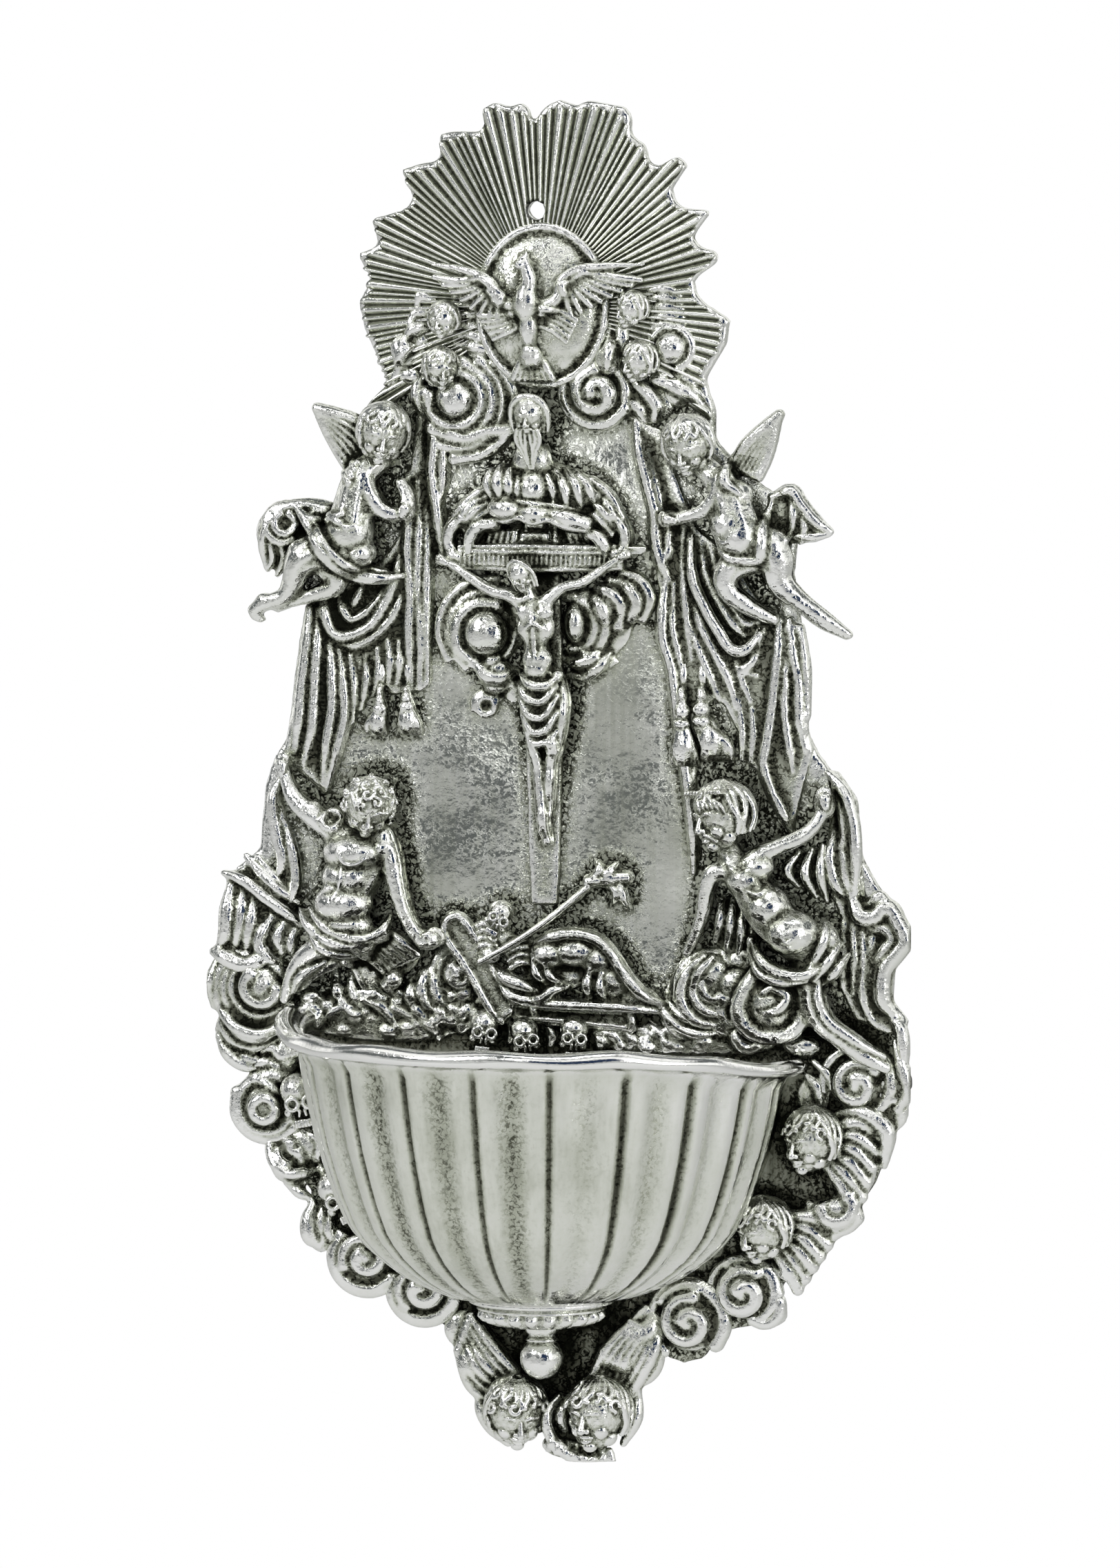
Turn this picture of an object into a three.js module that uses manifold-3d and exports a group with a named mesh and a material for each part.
// A wall holy water font in cast and chased silver-coloured metal, in millimetres.
// The origin is the centre of the hanging hole on the wall plane. +Z is up and the front faces -Y.
// Reliefs are seated on the plate's front face, and a squared drawing gives their places.
import * as THREE from "three";
import { mergeVertices } from "three/addons/utils/BufferGeometryUtils.js";
import Module from "manifold-3d";

const wasm = await Module();
wasm.setup();

// Driving dimensions
const plateWidth = 157;
const plateHeight = 296;
const plateThick = 4;
const recessDeep = 2.2;
const hangHole = 4.05;
const clearance = 0.3;
const rayRise = 2.2;
const crossThick = 4.5;
const bowlHalfWidth = 53;
const bowlHeight = 55.2;
const bowlAxisOut = 12;
const bowlWall = 2.4;
const bowlBackThick = 3;
const bowlBackDrop = 10.6;
const rimRollRadius = 2.6;
const rimDroop = 5.8;
const rimLift = 3;
const fluteDeep = 0.7;
const collarRadius = 16;
const collarHeight = 6.4;
const neckRadius = 3.8;
const neckHeight = 2.6;
const ballRadius = 4.8;
const studRadius = 1.6;
const studReach = 3;
const screwRadius = 1.5;
const screwHeadRadius = 2.9;
const screwHeadThick = 1.7;
const screwReach = 5.2;
const screwSpacing = 46;
const screwBelowRim = 23.2;
const bossRadius = 4.2;
const bossRise = 5.4;
const overrun = 5;

// The squared drawing: its count of squares across and down fixes the layout.
const squaresAcross = 10.49;
const squaresDown = 19.75;
const squareWide = plateWidth / squaresAcross;
const squareHigh = plateHeight / squaresDown;
const square = Math.sqrt(squareWide * squareHigh);

// Places
const at = (u, v, h = 0) =>
  new THREE.Vector3(u * squareWide, -plateThick - h * square, v * squareHigh);

// Solids
function solidFrom(geometry) {
  const bare = geometry.index ? geometry.toNonIndexed() : geometry.clone();
  bare.deleteAttribute("normal");
  bare.deleteAttribute("uv");
  const merged = mergeVertices(bare, 1e-4);
  const mesh = new wasm.Mesh({
    numProp: 3,
    vertProperties: merged.attributes.position.array,
    triVerts: new Uint32Array(merged.index.array),
  });
  mesh.merge();
  return new wasm.Manifold(mesh);
}

const joined = (solids) => solids.reduce((sum, next) => sum.add(next));

function block(low, high) {
  const size = new THREE.Vector3().subVectors(high, low);
  const middle = new THREE.Vector3().addVectors(low, high).multiplyScalar(0.5);
  return solidFrom(new THREE.BoxGeometry(size.x, size.y, size.z).translate(middle.x, middle.y, middle.z));
}

// Space in front of the wall, from a chosen distance outwards
function spaceBeyond(out) {
  const far = plateHeight;
  return block(new THREE.Vector3(-far, -far, -2 * far), new THREE.Vector3(far, -out, far));
}

// A closed skin over rings of points, with a pole at each end
function skin(rings, firstPole, lastPole) {
  const sides = rings[0].length;
  const points = [firstPole, ...rings.flat(), lastPole];
  const last = points.length - 1;
  const index = [];
  const corner = (ring, side) => 1 + ring * sides + (side % sides);
  for (let side = 0; side < sides; side += 1) {
    index.push(0, corner(0, side + 1), corner(0, side));
    for (let ring = 0; ring + 1 < rings.length; ring += 1) {
      index.push(corner(ring, side), corner(ring, side + 1), corner(ring + 1, side + 1));
      index.push(corner(ring, side), corner(ring + 1, side + 1), corner(ring + 1, side));
    }
    index.push(last, corner(rings.length - 1, side), corner(rings.length - 1, side + 1));
  }
  const geometry = new THREE.BufferGeometry().setFromPoints(points);
  geometry.setIndex(index);
  return geometry;
}

// A rounded limb, fold or cord through places of the drawing, each with its own radius
const limbSides = 5;
const capShare = 0.75;
function limb(places, grow = 0) {
  const centres = places.map(([u, v, h]) => at(u, v, h));
  const radii = places.map((place) => place[3] * square + grow);
  const outward = new THREE.Vector3(0, -1, 0);
  const along = centres.map((centre, i) => {
    const before = centres[Math.max(i - 1, 0)];
    const after = centres[Math.min(i + 1, centres.length - 1)];
    return new THREE.Vector3().subVectors(after, before).normalize();
  });
  const ring = (centre, tangent, radius) => {
    const across = new THREE.Vector3().crossVectors(tangent, outward).normalize();
    const up = new THREE.Vector3().crossVectors(tangent, across);
    return Array.from({ length: limbSides }, (_, side) => {
      const turn = (side / limbSides) * 2 * Math.PI;
      return centre
        .clone()
        .addScaledVector(across, Math.cos(turn) * radius)
        .addScaledVector(up, Math.sin(turn) * radius);
    });
  };
  const tip = (i, way) => centres[i].clone().addScaledVector(along[i], way * capShare * radii[i]);
  const last = centres.length - 1;
  const rings = centres.map((centre, i) => ring(centre, along[i], radii[i]));
  return solidFrom(skin(rings, tip(0, -1), tip(last, 1)));
}

// A rounded mass: place, then its half width, half height and half depth in squares
const smallBall = 4.5;
function ball([u, v, h, wide, high = wide, deep = wide], grow = 0) {
  const centre = at(u, v, h);
  const geometry = new THREE.IcosahedronGeometry(1, wide * square < smallBall ? 0 : 1);
  geometry.scale(wide * square + grow, deep * square + grow, high * square + grow);
  geometry.translate(centre.x, centre.y, centre.z);
  return solidFrom(geometry);
}

// A flat leaf of metal: outline places of the drawing and its rise in squares
function leaf({ rise, outline }, grow = 0) {
  const places = outline.map(([u, v]) => new THREE.Vector2(u * squareWide, v * squareHigh));
  const middle = places
    .reduce((sum, place) => sum.add(place), new THREE.Vector2())
    .divideScalar(places.length);
  const grown = places.map((place) => {
    const away = new THREE.Vector2().subVectors(place, middle);
    return place.clone().addScaledVector(away, (2 * grow) / away.length());
  });
  const thick = rise * square + grow + overrun;
  const geometry = new THREE.ExtrudeGeometry(new THREE.Shape(grown), { depth: thick, bevelEnabled: false });
  geometry.rotateX(Math.PI / 2);
  geometry.translate(0, -plateThick + overrun, 0);
  return solidFrom(geometry);
}

// A volute: a dished disc with a rolled band that winds in to a button
const voluteSteps = 8;
const voluteTurns = 1.35;
const voluteShares = { band: 0.24, windIn: 0.72, rise: 0.16, climb: 0.12, disc: 0.94, discRise: 0.2, button: 0.26 };
function volute([u, v, radius, way = 1, start = 0], grow = 0) {
  const { band, windIn, rise, climb, disc, discRise, button } = voluteShares;
  const path = Array.from({ length: voluteSteps }, (_, i) => {
    const share = i / (voluteSteps - 1);
    const reach = radius * (1 - band) * (1 - windIn * share);
    const turn = start + way * share * voluteTurns * 2 * Math.PI;
    return [u + reach * Math.cos(turn), v + reach * Math.sin(turn), rise + climb * share, band * radius];
  });
  return joined([
    ball([u, v, 0, radius * disc, radius * disc, discRise], grow),
    ball([u, v, discRise, radius * button], grow),
    limb(path, grow),
  ]);
}

// A relief: all of its masses joined, then cut flat on its seat
function relief(shares, grow = 0) {
  const { balls = [], limbs = [], leaves = [], volutes = [], seat = plateThick } = shares;
  const whole = joined([
    ...balls.map((entry) => ball(entry, grow)),
    ...limbs.map((entry) => limb(entry, grow)),
    ...leaves.map((entry) => leaf(entry, grow)),
    ...volutes.map((entry) => volute(entry, grow)),
  ]);
  return whole.intersect(spaceBeyond(seat - grow));
}

// Outlines of the plate and of the ray panel, in squares from the hole
const rayOutlineShares = [
  [-2.21, -2.52], [-2.33, -2.2], [-2.54, -1.74], [-2.63, -1.34], [-2.52, -1.16], [-2.46, -0.99],
  [-2.65, -0.65], [-2.33, -0.53], [-2.44, -0.14], [-2.25, -0.09], [-1.93, 0], [-1.83, 0.18],
  [-2, 0.57], [-1.72, 0.66], [-1.43, 0.71], [-1.45, 1.08], [-1.26, 1.13], [-0.95, 1.13],
  [-0.78, 1.11], [-0.8, 1.46], [-0.64, 1.55], [-0.41, 1.48], [-0.26, 1.54], [-0.13, 1.48],
  [-0.11, 1.09], [0.01, 1.38], [0.12, 1.5], [0.31, 1.59], [0.58, 1.5], [0.72, 1.59],
  [1.08, 1.52], [1.27, 1.5], [1.38, 1.32], [1.35, 1.08], [1.58, 0.94], [1.6, 0.75],
  [1.71, 0.62], [2.04, 0.79], [2.19, 0.67], [1.96, 0.33], [2, 0.14], [2.11, 0.04],
  [2.46, 0.02], [2.51, -0.02], [2.26, -0.36], [2.34, -0.51], [2.63, -0.59], [2.61, -0.74],
  [2.28, -0.97], [2.3, -1.16], [2.42, -1.32], [2.8, -1.55], [2.76, -1.89], [2.46, -2.39],
  [2.49, -2.58], [2.6, -2.85],
];
const flankOutlineShares = [
  [2.6, -3.3], [2.9, -3.6], [3.3, -3.95], [3.7, -4.2], [3.8, -4.7], [3.74, -5.2], [3.85, -5.9],
  [3.9, -6.9], [3.95, -7.5], [4.1, -7.8], [4.45, -8.25], [4.68, -8.6], [4.75, -9.3],
  [4.95, -9.65], [5.25, -10.1], [5.25, -10.5], [5.12, -10.95], [5.15, -11.3], [5.35, -11.6],
  [5.42, -12.2], [5.48, -12.6], [5.2, -13], [5.1, -13.6], [4.95, -14], [4.75, -14.3],
  [4.3, -14.7], [4.05, -15.05], [3.6, -15.5], [3.5, -15.95], [3.15, -16.12], [2.7, -16.2],
  [2.45, -16.6], [2.15, -16.68], [1.65, -16.5], [1.56, -16.7], [1.5, -17.2], [1.22, -17.7],
  [0.95, -18], [0.65, -18.05], [0.35, -17.85], [0.15, -17.72], [-0.1, -17.8], [-0.45, -17.75],
  [-0.85, -17.4], [-1.05, -16.95], [-1.1, -16.5], [-1.45, -16.15], [-1.95, -16],
  [-2.2, -15.65], [-2.7, -15.5], [-3.05, -15.15], [-3.33, -14.85], [-3.38, -14.5],
  [-3.35, -14.25], [-3.7, -14], [-3.95, -13.6], [-4.2, -13.15], [-4.28, -12.8],
  [-4.25, -12.5], [-4.62, -12.15], [-4.72, -11.6], [-4.8, -11.2], [-4.75, -10.9],
  [-4.5, -10.6], [-4.48, -9.8], [-4.48, -9.6], [-4.1, -9.3], [-4.03, -8.4], [-3.9, -8],
  [-3.75, -7.75], [-3.6, -7.5], [-3.48, -7], [-3.38, -6.3], [-3.32, -5.8], [-3.5, -5.3],
  [-3.5, -4.7], [-3.2, -4.4], [-2.66, -4.3], [-2.64, -3.9], [-2.8, -3.6], [-2.55, -2.9],
];
const recessOutlineShares = [
  [0.1, -2.6], [1.3, -3.2], [2.2, -4.6], [2.6, -7.2], [3.4, -9.4], [4.1, -11.8], [3.4, -13.9],
  [2.2, -15.4], [1, -16.2], [0, -16.2], [-1, -15.6], [-2.3, -14.4], [-3.2, -12.2], [-3.2, -9.6],
  [-2.2, -7.2], [-2, -4.6], [-1.1, -3.2],
];
const rayHubShares = [0.06, -1.34];
const rayReachShare = 4.2;
const rayRootShare = 0.2;
const rayFootShare = 0.35;
const rayPanelFootShares = [[2.3, -3], [0, -3], [-2, -3]];
const rayCount = 24;
const rayStart = -0.62;
const raySweep = 4.36;

// Relief tables: masses as place and radii, limbs as runs of places, all in squares
const reliefShares = {
  dove_medallion: {
    balls: [[0.06, -1.34, 0, 0.9, 1.08, 0.36]],
  },
  dove: {
    limbs: [
      [[-0.2, -0.72, 0.42, 0.03], [-0.1, -0.74, 0.44, 0.1], [-0.04, -0.98, 0.44, 0.11], [-0.08, -1.4, 0.42, 0.21], [-0.04, -1.85, 0.36, 0.12], [0, -2.2, 0.28, 0.17], [0, -2.36, 0.24, 0.2]],
      [[-0.2, -1.35, 0.42, 0.16], [-0.55, -1.02, 0.42, 0.14], [-0.9, -0.9, 0.38, 0.1], [-1.55, -0.82, 0.3, 0.05]],
      [[-0.2, -1.6, 0.38, 0.1], [-0.75, -1.25, 0.36, 0.13], [-1.2, -1.0, 0.32, 0.08]],
      [[0.1, -1.35, 0.42, 0.16], [0.5, -1.0, 0.42, 0.14], [0.95, -0.82, 0.38, 0.1], [1.8, -0.72, 0.3, 0.05]],
      [[0.1, -1.5, 0.38, 0.1], [0.8, -1.25, 0.36, 0.13], [1.35, -1.15, 0.32, 0.08]],
    ],
  },
  corpus: {
    seat: plateThick + crossThick,
    balls: [
      [-0.11, -5.14, 0.56, 0.19, 0.23, 0.2], [0.13, -7.2, 0.42, 0.33, 0.48, 0.24], [0.38, -6.68, 0.45, 0.12],
    ],
    limbs: [
      [[-0.08, -5.3, 0.46, 0.12], [0.02, -5.62, 0.42, 0.22], [0.06, -6.05, 0.45, 0.24], [0.07, -6.54, 0.43, 0.19], [0.1, -7, 0.42, 0.24]],
      [[0, -5.6, 0.42, 0.12], [-0.2, -5.58, 0.42, 0.1], [-0.74, -5.36, 0.4, 0.08], [-1.2, -5.02, 0.36, 0.08]],
      [[0, -5.6, 0.42, 0.12], [0.26, -5.51, 0.42, 0.1], [0.76, -5.3, 0.4, 0.08], [1.25, -4.98, 0.36, 0.08]],
      [[0.02, -7.3, 0.42, 0.18], [0.09, -7.87, 0.55, 0.14], [0.15, -8.5, 0.42, 0.12], [0.17, -8.95, 0.38, 0.09]],
      [[0.25, -7.3, 0.42, 0.18], [0.24, -7.8, 0.53, 0.14], [0.24, -8.5, 0.4, 0.12], [0.22, -8.95, 0.4, 0.09], [0.22, -9.2, 0.42, 0.08]],
    ],
  },
  father_figure: {
    balls: [
      [-0.02, -2.95, 0.5, 0.22, 0.27, 0.24], [-0.02, -2.76, 0.44, 0.3, 0.2, 0.22], [-0.02, -3.95, 0.2, 0.62, 0.66, 0.36],
      [-0.56, -3.84, 0.4, 0.2],
    ],
    limbs: [
      [[-0.02, -3.1, 0.52, 0.2], [-0.03, -3.45, 0.5, 0.17], [-0.04, -3.75, 0.46, 0.12]],
      [[-0.25, -3.55, 0.3, 0.25], [-0.75, -3.85, 0.3, 0.3], [-1.1, -4.35, 0.25, 0.26], [-1.28, -4.8, 0.22, 0.15], [-1.32, -5.05, 0.2, 0.11]],
      [[0.25, -3.6, 0.3, 0.25], [0.6, -3.85, 0.3, 0.28], [1, -4.3, 0.25, 0.28], [1.2, -4.65, 0.22, 0.18], [1.12, -4.72, 0.3, 0.12]],
      [[-0.94, -4.64, 0.2, 0.14], [-0.44, -4.52, 0.25, 0.15], [0, -4.4, 0.28, 0.15], [0.56, -4.5, 0.25, 0.15], [0.96, -4.64, 0.2, 0.14]],
    ],
  },
  cherub_head_left_high: { balls: [[-1.32, -1.56, 0.22, 0.26, 0.29, 0.26], [-1.36, -1.42, 0.2, 0.3, 0.2, 0.22]] },
  cherub_head_left_low: {
    balls: [[-1.4, -2.24, 0.22, 0.3, 0.32, 0.28], [-1.42, -2.08, 0.2, 0.33, 0.22, 0.24], [-1.86, -2.05, 0.06, 0.24, 0.2, 0.16]],
  },
  cherub_head_right_high: { balls: [[1.44, -1.37, 0.22, 0.26, 0.29, 0.26], [1.52, -1.24, 0.2, 0.28, 0.2, 0.22]] },
  cherub_head_right_low: {
    balls: [[1.51, -2.13, 0.22, 0.28, 0.3, 0.27], [1.56, -2, 0.2, 0.3, 0.22, 0.24], [1.97, -1.96, 0.1, 0.24, 0.24, 0.2]],
  },
  cloud_upper_left: {
    volutes: [[-1.24, -2.74, 0.4, -1, 1]],
    limbs: [
      [[-1.55, -3.25, 0.06, 0.12], [-1, -3.3, 0.14, 0.15], [-0.55, -3.05, 0.14, 0.13], [-0.42, -2.6, 0.12, 0.12]],
      [[-1.1, -3.1, 0.05, 0.16], [-0.8, -2.9, 0.1, 0.16], [-0.72, -2.55, 0.1, 0.14]],
    ],
  },
  cloud_upper_right: {
    volutes: [[0.88, -2.62, 0.4, 1, 2]],
    balls: [[1.06, -2.14, 0.1, 0.22]],
    limbs: [[[1.25, -2.5, 0.08, 0.14], [1.2, -2.95, 0.12, 0.14], [0.85, -3.2, 0.12, 0.14], [0.5, -3.05, 0.1, 0.12]]],
  },
  putto_upper_left: {
    balls: [[-2.26, -3.2, 0.42, 0.37, 0.4, 0.36], [-2.74, -4.79, 0.34, 0.42, 0.42, 0.4], [-3.38, -4.7, 0.1, 0.4, 0.3, 0.2]],
    limbs: [
      [[-2.3, -3.5, 0.3, 0.2], [-2.45, -3.95, 0.34, 0.34], [-2.62, -4.4, 0.34, 0.36], [-2.74, -4.8, 0.34, 0.4]],
      [[-2.45, -3.9, 0.42, 0.18], [-2.14, -4.39, 0.42, 0.15], [-1.84, -4.39, 0.36, 0.11]],
      [[-2.8, -4.95, 0.34, 0.34], [-3.34, -5.04, 0.38, 0.27], [-3.64, -5.49, 0.28, 0.16], [-4.12, -5.8, 0.14, 0.11]],
      [[-2.7, -5, 0.34, 0.3], [-2.9, -5.45, 0.36, 0.2], [-3.3, -5.6, 0.25, 0.13]],
      [[-2.9, -4.5, 0.2, 0.16], [-3.5, -4.42, 0.18, 0.17], [-4.05, -4.78, 0.12, 0.13]],
      [[-3, -4.85, 0.15, 0.2], [-3.6, -4.95, 0.15, 0.18], [-4.05, -5.05, 0.1, 0.1]],
    ],
    leaves: [{ rise: 0.24, outline: [[-3.26, -2.88], [-2.85, -2.98], [-2.5, -3.2], [-2.4, -3.9], [-2.75, -3.85], [-3.05, -3.4]] }],
  },
  putto_upper_right: {
    balls: [[2.31, -3.24, 0.42, 0.36, 0.38, 0.36], [3.01, -4.54, 0.34, 0.4]],
    limbs: [
      [[2.42, -3.5, 0.3, 0.2], [2.65, -3.95, 0.34, 0.32], [2.85, -4.3, 0.34, 0.36], [3.01, -4.6, 0.34, 0.38]],
      [[2.8, -3.84, 0.42, 0.18], [2.56, -4.22, 0.42, 0.15], [1.98, -4.41, 0.36, 0.11]],
      [[3.15, -4.2, 0.14, 0.2], [3.7, -4.3, 0.16, 0.22], [4.25, -4.58, 0.1, 0.1]],
      [[3.1, -4.75, 0.34, 0.32], [3.5, -5.2, 0.34, 0.23], [3.86, -5.56, 0.24, 0.15], [4.5, -6, 0.12, 0.1]],
      [[2.95, -4.8, 0.36, 0.3], [2.81, -5.2, 0.42, 0.22], [3.11, -5.6, 0.3, 0.15], [3.5, -5.86, 0.2, 0.1]],
    ],
    leaves: [{ rise: 0.24, outline: [[3.56, -2.88], [3.52, -3.1], [3.34, -3.75], [2.9, -4], [2.6, -3.5], [3.1, -3.08]] }],
  },
  tassel_left_outer: {
    limbs: [[[-2.26, -6.5, 0.14, 0.06], [-2.26, -6.95, 0.14, 0.07], [-2.26, -7.08, 0.15, 0.11], [-2.26, -7.2, 0.15, 0.08], [-2.26, -7.55, 0.14, 0.12]]],
  },
  tassel_left_inner: {
    limbs: [[[-1.9, -6.5, 0.14, 0.06], [-1.88, -6.92, 0.14, 0.07], [-1.88, -7.05, 0.16, 0.14], [-1.88, -7.18, 0.15, 0.09], [-1.88, -7.55, 0.14, 0.15]]],
  },
  tassel_right_inner: {
    limbs: [
      [[2.23, -6.5, 0.12, 0.06], [2.2, -6.95, 0.14, 0.09], [2.16, -7.2, 0.16, 0.13], [2.16, -7.34, 0.15, 0.09], [2.13, -7.85, 0.14, 0.19]],
      [[2.08, -6.94, 0.14, 0.09], [2.36, -6.94, 0.14, 0.09]],
    ],
  },
  tassel_right_outer: {
    limbs: [[[2.66, -6.6, 0.12, 0.06], [2.64, -7.05, 0.14, 0.08], [2.62, -7.2, 0.16, 0.13], [2.62, -7.34, 0.15, 0.09], [2.64, -7.85, 0.14, 0.18]]],
  },
  cloud_middle_left: {
    balls: [
      [-0.71, -6.12, 0.15, 0.36, 0.36, 0.3], [-0.64, -6.6, 0.1, 0.2], [-0.74, -7.16, 0.08, 0.2], [-0.9, -6.65, 0, 0.42, 0.72, 0.15],
    ],
    limbs: [[[-1.12, -5.75, 0.08, 0.12], [-1.24, -6.3, 0.12, 0.14], [-1.1, -6.8, 0.1, 0.14], [-0.95, -7.2, 0.08, 0.12]]],
  },
  cloud_middle_right: {
    balls: [
      [0.58, -5.99, 0.14, 0.26, 0.4, 0.26], [1.06, -5.64, 0.14, 0.28], [1.41, -5.66, 0.12, 0.24], [0.76, -6.59, 0.1, 0.28, 0.24, 0.2],
      [0.98, -6.1, 0, 0.6, 0.6, 0.15],
    ],
  },
  drape_left: {
    limbs: [
      [[-1.5, -2.95, 0.06, 0.12], [-1.45, -3.8, 0.1, 0.12], [-1.47, -4.5, 0.08, 0.12], [-1.62, -5.3, 0.08, 0.14], [-1.66, -6.3, 0.08, 0.14]],
      [[-1.78, -4.4, 0.08, 0.13], [-1.78, -5.4, 0.12, 0.15], [-1.75, -6.4, 0.1, 0.13]],
      [[-2.02, -5.14, 0.12, 0.13], [-2.14, -5.54, 0.14, 0.14], [-2.34, -5.94, 0.16, 0.14], [-2.64, -6.16, 0.16, 0.14], [-3, -6.14, 0.12, 0.13]],
      [[-3.2, -5.9, 0.1, 0.15], [-3.3, -7, 0.12, 0.17], [-3.15, -8.3, 0.06, 0.11]],
      [[-2.85, -6.1, 0.1, 0.14], [-2.9, -7.2, 0.12, 0.14], [-3, -8.2, 0.06, 0.1]],
    ],
    leaves: [
      { rise: 0.12, outline: [[-1.5, -4.3], [-1.56, -6.4], [-2.1, -6.45], [-2.6, -6.5], [-2.76, -7.6], [-3, -8.35], [-3.34, -8.25], [-3.48, -7.2], [-3.38, -5.9], [-2.9, -5.8], [-2.3, -5.3], [-2, -4.3]] },
    ],
  },
  drape_right: {
    limbs: [
      [[1.5, -2.95, 0.06, 0.12], [1.6, -3.54, 0.1, 0.13], [1.71, -4.24, 0.12, 0.13], [1.8, -4.94, 0.12, 0.13], [1.92, -5.5, 0.12, 0.13], [1.95, -6.3, 0.12, 0.13], [2.0, -7.6, 0.1, 0.11], [2.2, -8.6, 0.1, 0.11], [2.31, -9.5, 0.06, 0.1]],
      [[2.26, -4.64, 0.12, 0.13], [2.36, -5.24, 0.16, 0.14], [2.56, -5.74, 0.16, 0.14], [2.86, -6.24, 0.16, 0.14], [3.05, -6.34, 0.16, 0.14], [3.31, -5.99, 0.12, 0.13]],
      [[3.6, -5.84, 0.08, 0.13], [3.55, -6.44, 0.12, 0.14], [3.46, -7.54, 0.12, 0.14], [3.5, -8, 0.1, 0.13], [3.7, -8.5, 0.08, 0.12]],
    ],
    leaves: [
      { rise: 0.12, outline: [[1.65, -4.3], [2.2, -4.4], [3.2, -5.6], [3.84, -6], [3.9, -7.5], [4, -7.9], [3.6, -8.6], [3.3, -8.05], [2.9, -7.9], [2.4, -8.2], [2.4, -9.3], [2.2, -9.3], [1.94, -6.9], [1.75, -5.2]] },
    ],
  },
  putto_lower_left: {
    balls: [[-2.42, -8.55, 0.42, 0.38, 0.42, 0.38], [-2.58, -9.3, 0.3, 0.48, 0.42, 0.38], [-2.78, -10.02, 0.34, 0.42, 0.42, 0.4], [-2.04, -11.16, 0.15, 0.2]],
    limbs: [
      [[-2.9, -9, 0.36, 0.22], [-3.34, -8.78, 0.36, 0.18], [-3.5, -8.4, 0.32, 0.15], [-3.68, -8, 0.26, 0.13]],
      [[-2.2, -9.2, 0.4, 0.2], [-1.94, -9.8, 0.42, 0.16], [-1.78, -10.36, 0.4, 0.13], [-1.46, -10.5, 0.34, 0.11]],
      [[-2.6, -10.3, 0.34, 0.38], [-3.3, -10.75, 0.42, 0.32], [-3.66, -11.3, 0.32, 0.2], [-3.75, -11.75, 0.2, 0.13]],
      [[-2.5, -10.3, 0.3, 0.36], [-2.2, -10.9, 0.3, 0.26], [-2.06, -11.15, 0.2, 0.2]],
    ],
  },
  youth_lower_right: {
    balls: [[2.8, -8.72, 0.46, 0.42, 0.42, 0.4], [3.96, -10.39, 0.34, 0.44, 0.42, 0.4], [3.56, -11.3, 0.4, 0.5, 0.48, 0.44]],
    limbs: [
      [[2.95, -9, 0.34, 0.22], [3.15, -9.4, 0.36, 0.38], [3.6, -9.9, 0.36, 0.44], [3.96, -10.4, 0.34, 0.42]],
      [[3.5, -9.3, 0.4, 0.22], [4.16, -8.88, 0.4, 0.17], [3.85, -8.44, 0.36, 0.13]],
      [[3, -9.35, 0.44, 0.2], [2.64, -9.78, 0.44, 0.16], [2.34, -10.6, 0.4, 0.12]],
      [[3.9, -10.5, 0.34, 0.4], [3.6, -11.2, 0.4, 0.42]],
      [[4, -10.8, 0.34, 0.36], [4.24, -11.44, 0.34, 0.25], [4.86, -11.94, 0.26, 0.18], [5.3, -12.34, 0.16, 0.13]],
    ],
  },
  shrouded_figure: {
    balls: [[-0.44, -10.2, 0.36, 0.21, 0.23, 0.22], [0.46, -10.79, 0.26, 0.52, 0.38, 0.36]],
    limbs: [
      [[-0.4, -10.32, 0.3, 0.13], [-0.2, -10.5, 0.3, 0.18], [0.3, -10.7, 0.3, 0.3]],
      [[0.1, -10.6, 0.34, 0.16], [-0.25, -10.86, 0.36, 0.1], [-0.6, -10.8, 0.3, 0.09]],
      [[0.7, -10.5, 0.3, 0.2], [1.41, -10.99, 0.24, 0.17], [1.84, -11.22, 0.14, 0.1]],
      [[-0.3, -11.2, 0.18, 0.12], [0.7, -11.22, 0.2, 0.14], [1.8, -11.24, 0.14, 0.1]],
      [[0.46, -10.8, 0.24, 0.36], [1.2, -11.1, 0.18, 0.16]],
    ],
  },
  scythe_staff: {
    balls: [[1.1, -9.6, 0.12, 0.16, 0.16, 0.36]],
    limbs: [
      [[-0.62, -10.74, 0.6, 0.05], [0.2, -10.14, 0.56, 0.05], [1.1, -9.6, 0.4, 0.06]],
      [[0.88, -9.46, 0.4, 0.07], [1.1, -9.56, 0.42, 0.12], [1.34, -9.8, 0.36, 0.08]],
      [[1.1, -9.6, 0.38, 0.08], [1.12, -10, 0.34, 0.05]],
    ],
  },
  coffin_lid: {
    limbs: [[[-1.19, -10.2, 0.2, 0.17], [-0.92, -10.7, 0.22, 0.17], [-0.5, -11.4, 0.2, 0.16]]],
  },
  bier_board: {
    leaves: [{ rise: 0.34, outline: [[-0.36, -11.38], [1.46, -11.42], [1.5, -11.82], [-0.34, -11.78]] }],
  },
  small_face_left: { balls: [[-0.76, -11.86, 0.12, 0.21]] },
  small_face_middle: { balls: [[-0.14, -12.02, 0.1, 0.17]] },
  small_face_right: { balls: [[0.63, -12.02, 0.1, 0.17]] },
  cloud_lower_left: {
    balls: [[-1.06, -11.14, 0.12, 0.24], [-1.5, -11.2, 0, 0.5, 0.4, 0.15]],
    limbs: [[[-1.9, -10.85, 0.06, 0.13], [-1.86, -11.35, 0.1, 0.14], [-1.5, -11.6, 0.12, 0.15], [-1.08, -11.5, 0.1, 0.13]]],
  },
  cloud_lower_right: {
    balls: [
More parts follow.
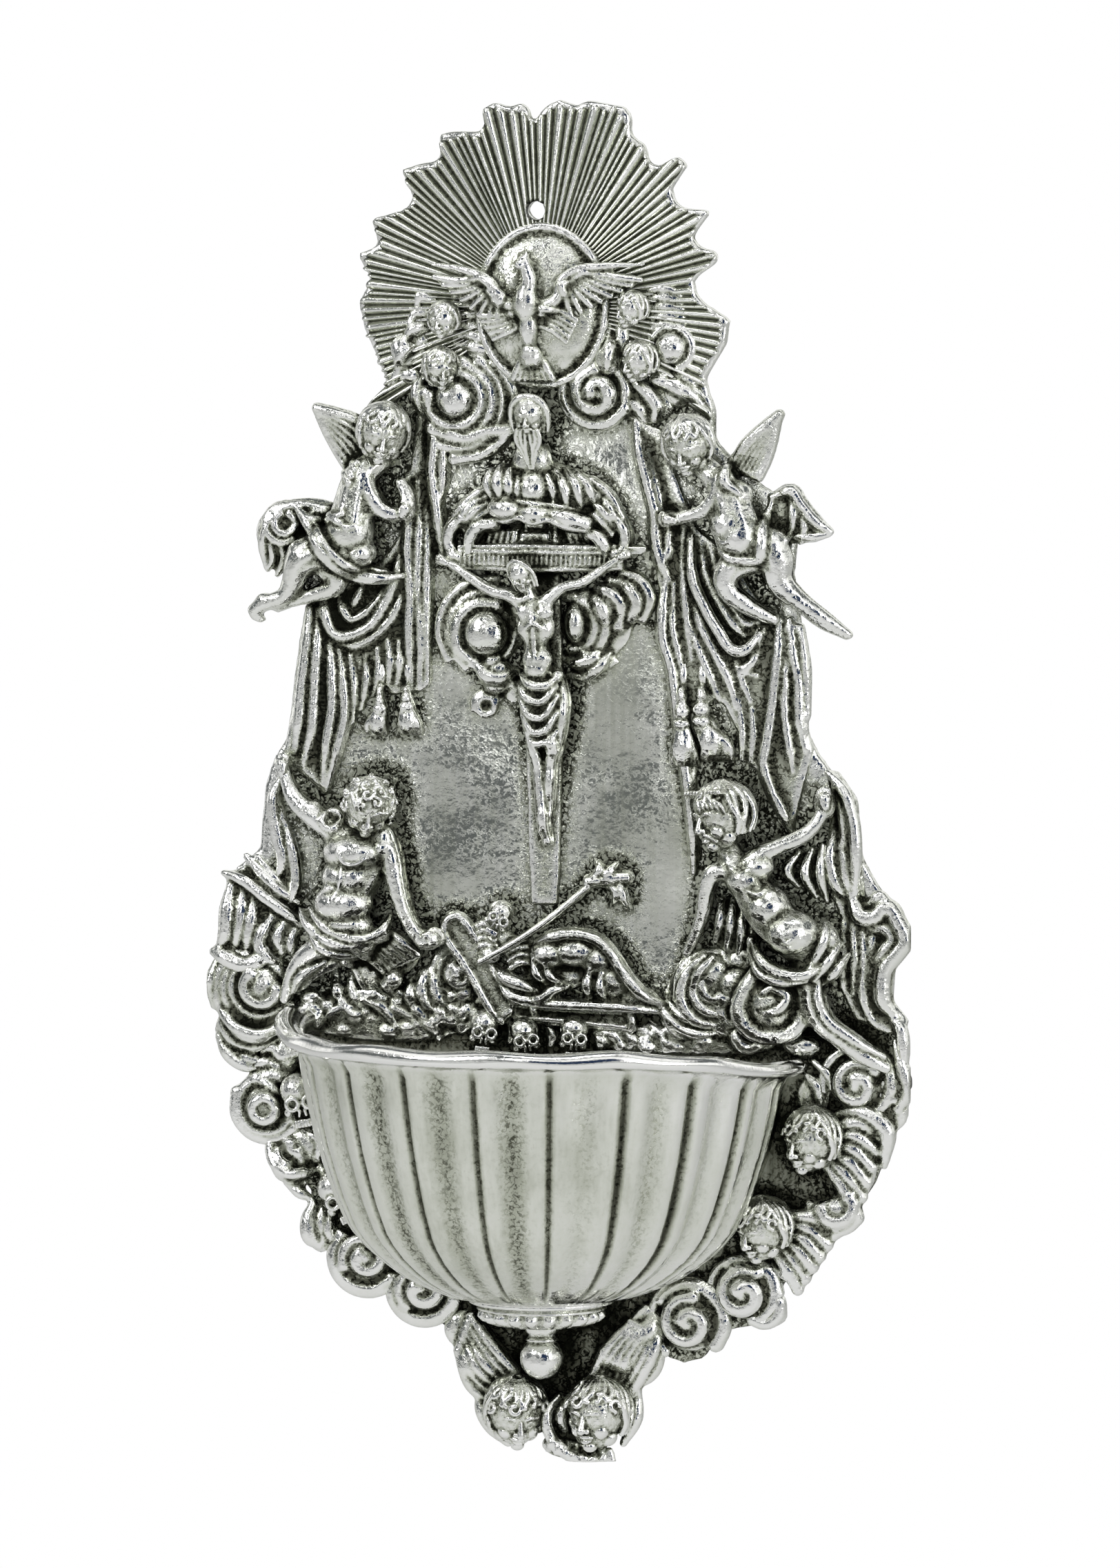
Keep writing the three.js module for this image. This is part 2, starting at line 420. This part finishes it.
      [2.41, -11.14, 0.14, 0.32, 0.34, 0.26], [2.96, -11.84, 0.14, 0.26], [3.91, -11.98, 0.12, 0.3], [2.96, -10.74, 0.12, 0.2],
      [2.75, -11.4, 0, 0.7, 0.6, 0.16],
    ],
    limbs: [[[1.95, -11.5, 0.1, 0.12], [2.3, -11.75, 0.12, 0.14], [3.2, -12, 0.12, 0.14], [3.9, -12.05, 0.1, 0.14]]],
  },
  leaf_fold_left: {
    limbs: [
      [[-3.8, -8.4, 0.08, 0.12], [-3.9, -8.8, 0.1, 0.14], [-3.82, -9.35, 0.1, 0.14], [-3.74, -9.9, 0.08, 0.12]],
      [[-3.72, -8.6, 0.08, 0.12], [-3.6, -9.3, 0.1, 0.14], [-3.58, -9.85, 0.1, 0.13], [-3.64, -10.1, 0.06, 0.1]],
    ],
  },
  scroll_drape_left: {
    limbs: [
      [[-4.58, -9.62, 0.1, 0.13], [-4.24, -9.74, 0.14, 0.14], [-3.9, -10, 0.14, 0.14], [-3.55, -10.28, 0.1, 0.12]],
      [[-4.34, -9.8, 0.08, 0.2], [-4.32, -10.4, 0.1, 0.22], [-4.28, -10.8, 0.08, 0.18]],
      [[-4.8, -10.85, 0.06, 0.1], [-4.4, -10.92, 0.1, 0.14], [-4, -10.85, 0.1, 0.14]],
      [[-3.95, -10.1, 0.08, 0.16], [-3.95, -10.6, 0.08, 0.16]],
    ],
  },
  ribbon_right: {
    balls: [[4.42, -9.14, 0.1, 0.2, 0.42, 0.2]],
    limbs: [
      [[4.4, -8.3, 0.1, 0.15], [4.62, -8.94, 0.14, 0.16], [4.62, -9.54, 0.14, 0.16], [4.6, -9.9, 0.14, 0.16], [4.86, -10.14, 0.14, 0.16], [5.16, -10.05, 0.12, 0.14]],
      [[5.16, -10.05, 0.12, 0.15], [5.27, -10.38, 0.12, 0.13], [5.1, -10.74, 0.12, 0.15], [5.02, -11.24, 0.12, 0.15], [5.24, -11.54, 0.1, 0.13]],
    ],
    leaves: [{ rise: 0.12, outline: [[4.3, -8.9], [4.7, -8.9], [4.75, -9.7], [5.1, -10.1], [4.7, -10.2], [4.3, -9.7]] }],
  },
  cloud_edge_left_high: {
    balls: [[-4.04, -11.24, 0.12, 0.36, 0.36, 0.28], [-4.25, -11.45, 0, 0.58, 0.62, 0.2]],
    limbs: [[[-4.72, -11.5, 0.08, 0.14], [-4.45, -11.85, 0.12, 0.15], [-4.1, -11.98, 0.14, 0.15], [-3.76, -12, 0.1, 0.12]]],
  },
  cloud_edge_left_low: {
    balls: [[-4.25, -12.64, 0.1, 0.22], [-3.99, -13.04, 0.14, 0.34, 0.34, 0.28], [-4.05, -12.95, 0, 0.42, 0.5, 0.18]],
    limbs: [
      [[-4.32, -13.05, 0.06, 0.14], [-4.15, -13.45, 0.12, 0.15], [-3.75, -13.6, 0.12, 0.14]],
      [[-3.8, -13.6, 0.08, 0.14], [-3.72, -13.95, 0.1, 0.14], [-3.45, -14.1, 0.08, 0.12]],
    ],
  },
  skull_left_high: { balls: [[-3.49, -12.58, 0.26, 0.32, 0.32, 0.32], [-3.42, -13.05, 0.2, 0.2, 0.26, 0.2]] },
  skull_left_low: { balls: [[-2.98, -14.1, 0.26, 0.33, 0.33, 0.32], [-2.88, -14.56, 0.2, 0.2, 0.26, 0.2]] },
  volute_left_high: {
    volutes: [[-2.49, -15.2, 0.47, 1, 2.4]],
    limbs: [[[-3.34, -14.7, 0.1, 0.14], [-3.2, -15, 0.12, 0.16], [-2.85, -15.3, 0.12, 0.15]]],
  },
  volute_left_low: {
    volutes: [[-1.66, -15.62, 0.46, -1, 0.6]],
  },
  volute_right_high: {
    volutes: [[4.78, -12.6, 0.5, -1, 1.2]],
    balls: [[5.2, -12.7, 0.08, 0.24]],
  },
  cherub_edge_high: {
    balls: [[4.11, -13.34, 0.36, 0.42, 0.42, 0.38]],
    limbs: [[[4.4, -13.3, 0.16, 0.2], [4.8, -13.4, 0.14, 0.18], [4.86, -13.9, 0.12, 0.14]]],
    leaves: [{ rise: 0.2, outline: [[4.2, -13.1], [4.98, -13.3], [5.0, -13.9], [4.8, -14.15], [4.3, -13.9]] }],
  },
  cherub_edge_low: {
    balls: [[3.46, -14.54, 0.36, 0.4, 0.42, 0.36], [4.35, -14.4, 0.08, 0.26, 0.26, 0.2]],
    limbs: [
      [[3.7, -14.6, 0.16, 0.2], [4.1, -14.6, 0.14, 0.18]],
      [[3.6, -14.9, 0.12, 0.18], [3.75, -15.2, 0.12, 0.16]],
    ],
  },
  volute_right_middle: { volutes: [[3.06, -15.6, 0.46, 1, 1]] },
  volute_right_low: { volutes: [[2.24, -16, 0.56, -1, 2]] },
  cherub_foot_left: {
    balls: [[-0.2, -17.4, 0.34, 0.42, 0.42, 0.36], [-0.24, -17.05, 0.3, 0.36, 0.22, 0.28]],
    limbs: [[[-1, -16.5, 0.1, 0.14], [-0.98, -17, 0.12, 0.14], [-0.6, -17.4, 0.14, 0.14]]],
    leaves: [{ rise: 0.22, outline: [[-1.1, -16.45], [-0.7, -16.35], [-0.3, -16.9], [-0.2, -17.2], [-0.6, -17.5], [-1.0, -17]] }],
  },
  cherub_foot_right: {
    balls: [[0.9, -17.42, 0.34, 0.42, 0.42, 0.36], [0.95, -17.02, 0.3, 0.38, 0.22, 0.28]],
    limbs: [
      [[0.32, -17.82, 0.2, 0.13], [0.65, -17.95, 0.22, 0.15], [1, -17.8, 0.2, 0.14]],
      [[1.52, -16.7, 0.1, 0.13], [1.42, -17.2, 0.12, 0.13]],
    ],
    leaves: [{ rise: 0.22, outline: [[1.35, -17.3], [0.9, -17.2], [0.95, -16.5], [1.5, -16.2], [1.55, -16.7]] }],
  },
};

// The back plate: outline, hanging hole, hollowed back and two screw holes
function extrudedOutline(shares, thick, out) {
  const outline = shares.map(([u, v]) => new THREE.Vector2(u * squareWide, v * squareHigh));
  const geometry = new THREE.ExtrudeGeometry(new THREE.Shape(outline), { depth: thick, bevelEnabled: false });
  geometry.rotateX(Math.PI / 2);
  geometry.translate(0, out, 0);
  return solidFrom(geometry);
}

function boreAlongDepth(radius, depth, place) {
  const sides = 16;
  const geometry = new THREE.CylinderGeometry(radius, radius, depth, sides);
  geometry.translate(place.x, place.y, place.z);
  return solidFrom(geometry);
}

const bowlPlaceShares = [0.16, -12];
const bowlMiddle = bowlPlaceShares[0] * squareWide;
const bowlTop = bowlPlaceShares[1] * squareHigh;
const bowlFoot = bowlTop - bowlHeight;
const screwPlaces = [-0.5, 0.5].map(
  (side) => new THREE.Vector3(bowlMiddle + side * screwSpacing, 0, bowlTop - screwBelowRim),
);
const plateOutlineShares = [...rayOutlineShares, ...flankOutlineShares];

function backPlate() {
  const slab = extrudedOutline(plateOutlineShares, plateThick, 0);
  const recess = extrudedOutline(recessOutlineShares, recessDeep + overrun, overrun);
  const hole = boreAlongDepth(hangHole / 2, plateHeight, new THREE.Vector3());
  const screwBores = screwPlaces.map((place) => boreAlongDepth(screwRadius + clearance, plateHeight, place));
  return [recess, hole, ...screwBores].reduce((plate, cut) => plate.subtract(cut), slab);
}

// The ray panel: a fan of ridges round the medallion, trimmed to the ray tips
function rayPanel() {
  const hub = at(...rayHubShares);
  const steps = rayCount * 2;
  const points = [];
  const index = [];
  const turnAt = (step) => rayStart + (raySweep * step) / steps;
  for (let step = 0; step <= steps; step += 1) {
    const rise = step % 2 ? rayRise : rayRise * rayFootShare;
    const way = new THREE.Vector3(Math.cos(turnAt(step)), 0, Math.sin(turnAt(step)));
    const inner = hub.clone().addScaledVector(way, rayRootShare * square);
    const outer = hub.clone().addScaledVector(way, rayReachShare * square);
    for (const place of [inner, outer]) {
      points.push(place.clone(), place.clone().setY(hub.y - rise));
    }
  }
  const quad = (a, b, c, d) => index.push(a, c, b, a, d, c);
  for (let step = 0; step < steps; step += 1) {
    const i = 4 * step;
    quad(i + 1, i + 5, i + 7, i + 3);
    quad(i, i + 2, i + 6, i + 4);
    quad(i, i + 4, i + 5, i + 1);
    quad(i + 2, i + 3, i + 7, i + 6);
  }
  quad(0, 1, 3, 2);
  const end = 4 * steps;
  quad(end, end + 2, end + 3, end + 1);
  const geometry = new THREE.BufferGeometry().setFromPoints(points);
  geometry.setIndex(index);
  const trim = extrudedOutline([...rayOutlineShares, ...rayPanelFootShares], plateThick + rayRise + overrun, 0);
  const hole = boreAlongDepth(hangHole / 2, plateHeight, new THREE.Vector3());
  return solidFrom(geometry).intersect(trim).subtract(hole);
}

// The cross: an upright and a beam cut from flat bar
const crossShares = {
  upright: [[-0.11, -4.62], [0.23, -4.62], [0.23, -5.12], [0.32, -5.2], [0.32, -9.85], [-0.24, -9.85], [-0.24, -5.2], [-0.11, -5.12]],
  beam: [[-1.3, -4.84], [1.31, -4.82], [1.31, -5.14], [-1.3, -5.16]],
  beamEnd: [[1.1, -4.84], [1.66, -4.84], [1.66, -4.92], [1.1, -5.1]],
};
const crossSolid = (grow = 0) =>
  joined(
    Object.values(crossShares).map((outline) => leaf({ rise: crossThick / square, outline }, grow)),
  ).intersect(spaceBeyond(plateThick - grow));

// The bowl: fluted outside, plain inside, flat against the plate, with a rolled and drooping rim
const bowlProfileShares = [
  [0, 0.32], [0.04, 0.47], [0.1, 0.59], [0.2, 0.715], [0.31, 0.805], [0.5, 0.885], [0.75, 0.953], [1, 1],
];
const bowlDepthShare = 0.98;
const flutePitch = (2 * Math.PI) / 20;
const bowlSides = 40;
const innerSides = 24;
const fluteFadeShare = 1 / 12;
const middleDroopShare = 0.25;
const droopShares = { start: 0.12, full: 0.5, leave: 0.62, gone: 0.98, leftStart: 0.34 };

// How far the rim hangs below its level, by the turn round from the front: its left end curls up
function droopAt(turn) {
  const { start, full, leave, gone, leftStart } = droopShares;
  const aside = THREE.MathUtils.smoothstep(turn, Math.PI * start, Math.PI * full);
  const behind = THREE.MathUtils.smoothstep(Math.abs(turn), Math.PI * leave, Math.PI * gone);
  const left = THREE.MathUtils.smoothstep(-turn, Math.PI * leftStart, Math.PI * full);
  return turn > 0 ? rimDroop * (aside - behind) : -rimLift * (left - behind * left);
}

const plainShift = 0.37;
function ringAround(radius, height, sides, flute = 0) {
  return Array.from({ length: sides }, (_, side) => {
    const shift = flute > 0 ? 0 : plainShift;
    const turn = ((side + shift) / sides) * 2 * Math.PI - Math.PI;
    const lobe = flute * (Math.abs(Math.cos((turn * Math.PI) / flutePitch / 2)) - 1);
    const lift = ((height - bowlFoot) / bowlHeight) * droopAt(turn);
    return new THREE.Vector3(
      bowlMiddle + (radius + lobe) * Math.sin(turn),
      -bowlAxisOut - (radius + lobe) * bowlDepthShare * Math.cos(turn),
      height - lift,
    );
  });
}

function bowlBody(grow, sides, flute, bottom = 0, top = 0) {
  const rings = bowlProfileShares.map(([share, radius]) => {
    const height = bowlFoot + bottom + share * (bowlHeight - bottom);
    return ringAround(radius * bowlHalfWidth + grow, height, sides, flute * Math.min(1, share / fluteFadeShare));
  });
  if (top > 0) rings.push(ringAround(bowlHalfWidth + grow, bowlTop + top, sides, flute));
  const lowPole = new THREE.Vector3(bowlMiddle, -bowlAxisOut, bowlFoot + bottom);
  const highPole = new THREE.Vector3(bowlMiddle, -bowlAxisOut, bowlTop + top - rimDroop * middleDroopShare);
  return solidFrom(skin(rings, lowPole, highPole));
}

const rimShares = { out: 0.7, wide: 1.25, rise: 0.9, high: 0.75, lip: 0.6 };
function rimSolid(grow) {
  const sides = 36;
  const section = 6;
  const points = [];
  const index = [];
  for (let side = 0; side < sides; side += 1) {
    const turn = ((side + 0.5) / sides) * 2 * Math.PI - Math.PI;
    for (let corner = 0; corner < section; corner += 1) {
      const round = (corner / section) * 2 * Math.PI;
      const halfWide = rimRollRadius * rimShares.wide + grow;
      const halfHigh = rimRollRadius * rimShares.high + grow;
      const radius = bowlHalfWidth + rimRollRadius * rimShares.out + halfWide * Math.cos(round);
      const height = bowlTop + rimRollRadius * rimShares.rise - droopAt(turn) + halfHigh * Math.sin(round);
      points.push(
        new THREE.Vector3(
          bowlMiddle + radius * Math.sin(turn),
          -bowlAxisOut - radius * bowlDepthShare * Math.cos(turn),
          height,
        ),
      );
      const next = (corner + 1) % section;
      const here = side * section;
      const there = ((side + 1) % sides) * section;
      index.push(here + corner, there + corner, there + next, here + corner, there + next, here + next);
    }
  }
  const geometry = new THREE.BufferGeometry().setFromPoints(points);
  geometry.setIndex(index);
  const rim = solidFrom(geometry);
  return rim.volume() < 0 ? solidFrom(turnedInsideOut(geometry)) : rim;
}

function turnedInsideOut(geometry) {
  const copy = geometry.clone();
  const index = Array.from(geometry.index.array);
  for (let i = 0; i < index.length; i += 3) [index[i + 1], index[i + 2]] = [index[i + 2], index[i + 1]];
  copy.setIndex(index);
  return copy;
}

function bowlCavity(shrink) {
  const overRim = 3 * rimRollRadius + overrun;
  const hollow = bowlBody(-bowlWall - shrink, innerSides, 0, bowlWall, overRim);
  const backFace = plateThick + bowlBackThick + shrink;
  const backTop = bowlTop - bowlBackDrop + shrink;
  const far = plateHeight;
  return hollow.subtract(block(new THREE.Vector3(-far, -backFace, -far), new THREE.Vector3(far, far, backTop)));
}

function bowl() {
  const lip = rimRollRadius * rimShares.lip;
  const shell = bowlBody(0, bowlSides, fluteDeep, 0, lip).add(rimSolid(0)).subtract(bowlCavity(0));
  const bosses = screwPlaces.map((place) => {
    const reach = plateThick + bowlBackThick + bossRise;
    return boreAlongDepth(bossRadius, reach, place.clone().setY(-reach / 2));
  });
  const bores = screwPlaces.map((place) => {
    const reach = plateThick + screwReach + clearance;
    return boreAlongDepth(screwRadius + clearance, reach, place.clone().setY(-reach / 2));
  });
  const whole = bosses.reduce((sum, boss) => sum.add(boss), shell).intersect(spaceBeyond(plateThick));
  const studBore = finialBore();
  return [...bores, studBore].reduce((sum, bore) => sum.subtract(bore), whole);
}

const bowlKeepOut = (grow) =>
  bowlBody(grow, innerSides, 0)
    .add(rimSolid(grow))
    .subtract(bowlCavity(grow))
    .intersect(spaceBeyond(plateThick - grow));

// The collar, neck and ball under the bowl, turned round the bowl's own axis
function turned(profile, sides) {
  const geometry = new THREE.LatheGeometry(profile, sides);
  geometry.rotateX(Math.PI / 2);
  geometry.translate(bowlMiddle, -bowlAxisOut, 0);
  const made = solidFrom(geometry);
  return made.volume() < 0 ? solidFrom(turnedInsideOut(geometry)) : made;
}

const collarTop = bowlFoot;
const collarFoot = collarTop - collarHeight;
const collarProfileShares = [[0, 0], [0.94, 0], [1, 0.12], [0.96, 0.35], [0.88, 0.62], [0.7, 0.9], [0.5, 1], [0, 1]];
const ballSinkShare = 0.9;
const ballCentre = collarFoot - neckHeight - ballRadius * ballSinkShare;
function collar(grow = 0) {
  const middle = (collarTop + collarFoot) / 2;
  const profile = collarProfileShares.map(([out, down]) => {
    const height = collarTop - down * collarHeight;
    return new THREE.Vector2(out * (collarRadius + grow), height + grow * Math.sign(height - middle));
  });
  return turned(profile, 24).intersect(spaceBeyond(plateThick));
}

function finialBore() {
  const radius = studRadius + clearance;
  const top = bowlFoot + studReach + clearance;
  const profile = [[0, top], [radius, top], [radius, collarFoot - overrun], [0, collarFoot - overrun]];
  return turned(profile.map(([r, z]) => new THREE.Vector2(r, z)), 12);
}

const ballSteps = 8;
const ballStartShare = 0.27;
const neckWaistShares = [0.86, 0.55];
function finial(grow = 0) {
  const arc = Array.from({ length: ballSteps + 1 }, (_, i) => {
    const turn = Math.PI * (ballStartShare + ((1 - ballStartShare) * i) / ballSteps);
    const radius = i === ballSteps ? 0 : (ballRadius + grow) * Math.sin(turn);
    return new THREE.Vector2(radius, ballCentre + (ballRadius + grow) * Math.cos(turn));
  });
  const [waistWide, waistDown] = neckWaistShares;
  const neckTop = collarFoot - clearance + grow;
  const profile = [
    new THREE.Vector2(0, bowlFoot + studReach),
    new THREE.Vector2(studRadius, bowlFoot + studReach),
    new THREE.Vector2(studRadius, neckTop),
    new THREE.Vector2(neckRadius + grow, neckTop),
    new THREE.Vector2(neckRadius * waistWide + grow, collarFoot - neckHeight * waistDown),
    ...arc,
  ];
  return turned(profile, 16);
}

function bowlScrew(place) {
  const headSeat = recessDeep - clearance;
  const headFace = headSeat - screwHeadThick;
  const profile = [
    new THREE.Vector2(0, screwReach + plateThick),
    new THREE.Vector2(screwRadius, screwReach + plateThick),
    new THREE.Vector2(screwRadius, headSeat),
    new THREE.Vector2(screwHeadRadius, headSeat),
    new THREE.Vector2(screwHeadRadius, headFace),
    new THREE.Vector2(0, headFace),
  ];
  const geometry = new THREE.LatheGeometry(profile, 12);
  geometry.rotateX(Math.PI);
  geometry.translate(place.x, 0, place.z);
  const made = solidFrom(geometry);
  return made.volume() < 0 ? solidFrom(turnedInsideOut(geometry)) : made;
}

// One body is kept of each relief: crumbs that a cut leaves at its edge are filed off.
function mainBody(solid) {
  const mesh = solid.getMesh();
  const stride = mesh.numProp;
  const vertices = mesh.vertProperties;
  const triangles = mesh.triVerts;
  const parent = Array.from({ length: mesh.numVert }, (_, i) => i);
  const root = (i) => {
    let top = i;
    while (parent[top] !== top) top = parent[top];
    parent[i] = top;
    return top;
  };
  for (let t = 0; t < triangles.length; t += 3) {
    parent[root(triangles[t])] = root(triangles[t + 1]);
    parent[root(triangles[t + 1])] = root(triangles[t + 2]);
  }
  const volumes = new Map();
  const corner = (i) => new THREE.Vector3().fromArray(vertices, i * stride);
  for (let t = 0; t < triangles.length; t += 3) {
    const [a, b, c] = [0, 1, 2].map((k) => corner(triangles[t + k]));
    const key = root(triangles[t]);
    volumes.set(key, (volumes.get(key) ?? 0) + a.dot(b.cross(c)));
  }
  const largest = [...volumes].reduce((best, next) => (next[1] > best[1] ? next : best))[0];
  const positions = [];
  for (let t = 0; t < triangles.length; t += 3) {
    if (root(triangles[t]) !== largest) continue;
    for (let k = 0; k < 3; k += 1) positions.push(...corner(triangles[t + k]).toArray());
  }
  const geometry = new THREE.BufferGeometry();
  geometry.setAttribute("position", new THREE.Float32BufferAttribute(positions, 3));
  return geometry;
}

// Assembly: pieces in the order of who gives way, so a later piece is cut clear of the earlier ones.
const silver = { color: 0xb9bcae, roughness: 0.28, metalness: 1 };
const satin = { color: 0xb5b9ad, roughness: 0.5, metalness: 0.85 };
const steel = { color: 0x8c8c88, roughness: 0.4, metalness: 1 };
const font = new THREE.Group();
const placed = [];

function addPiece(name, solid, finish) {
  const geometry = mainBody(solid);
  geometry.computeVertexNormals();
  const mesh = new THREE.Mesh(geometry, new THREE.MeshStandardMaterial(finish));
  mesh.name = name;
  font.add(mesh);
}

function addCut(name, make, finish) {
  addPiece(name, placed.reduce((solid, keepOut) => solid.subtract(keepOut), make(0)), finish);
  placed.push(make(clearance));
}

addPiece("back_plate", backPlate(), silver);
addPiece("bowl", bowl(), satin);
addPiece("gadroon_collar", collar().subtract(finialBore()), silver);
addPiece("ball_finial", finial(), silver);
screwPlaces.forEach((place, i) => addPiece(`bowl_screw_${i + 1}`, bowlScrew(place), steel));
placed.push(...[bowlKeepOut, collar, finial].map((make) => make(clearance)));
for (const [name, shares] of Object.entries(reliefShares)) {
  addCut(name, (grow) => relief(shares, grow), silver);
  if (name === "corpus") addPiece("cross", crossSolid(), silver);
  if (name === "corpus") placed.push(crossSolid(clearance));
}
addCut("ray_panel", rayPanel, silver);

export default font;
